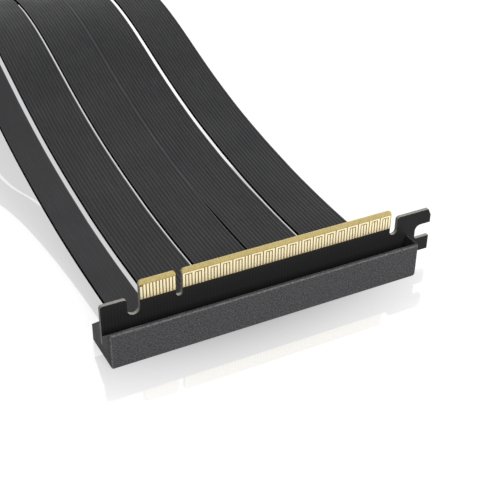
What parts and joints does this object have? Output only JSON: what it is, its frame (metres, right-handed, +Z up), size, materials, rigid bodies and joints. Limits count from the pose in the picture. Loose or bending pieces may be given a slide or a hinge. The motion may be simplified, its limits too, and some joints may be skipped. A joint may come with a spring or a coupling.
{
  "type": "graphics card riser cable",
  "caption": "Flat ribbon riser for an expansion card slot: a card-edge connector and a slot connector in moulded housings, joined by a side-by-side row of ribbon cables.",
  "frame": {"origin": "middle of the underside of the card-edge housing, on the surface that the part stands on", "axes": "+X along the card edge towards its hook, +Y from the card-edge end to the slot end, +Z up"},
  "size_m": [0.1115, 0.3227, 0.0364],
  "materials": {
    "housing_plastic": "fine spark-eroded texture",
    "board_mask": "semi-gloss solder mask",
    "gold_contact": "gold plated, satin",
    "board_core": "routed glass-fibre laminate",
    "ribbon_jacket": "satin, finely ridged lengthwise",
    "tinned_wire": "tinned",
    "slot_plastic": "moulded, satin"
  },
  "bodies": {
    "root": {"edge_housing": "housing_plastic", "edge_board": "board_mask", "edge_wires_1": "tinned_wire", "edge_wires_2": "tinned_wire", "edge_wires_3": "tinned_wire", "edge_wires_4": "tinned_wire", "edge_wires_5": "tinned_wire", "ribbon_1": "ribbon_jacket", "ribbon_2": "ribbon_jacket", "ribbon_3": "ribbon_jacket", "ribbon_4": "ribbon_jacket", "ribbon_5": "ribbon_jacket", "slot_housing": "housing_plastic", "slot_board": "board_mask", "slot_connector": "slot_plastic", "slot_wires_1": "tinned_wire", "slot_wires_2": "tinned_wire", "slot_wires_3": "tinned_wire", "slot_wires_4": "tinned_wire", "slot_wires_5": "tinned_wire"}
  },
  "joints": []
}
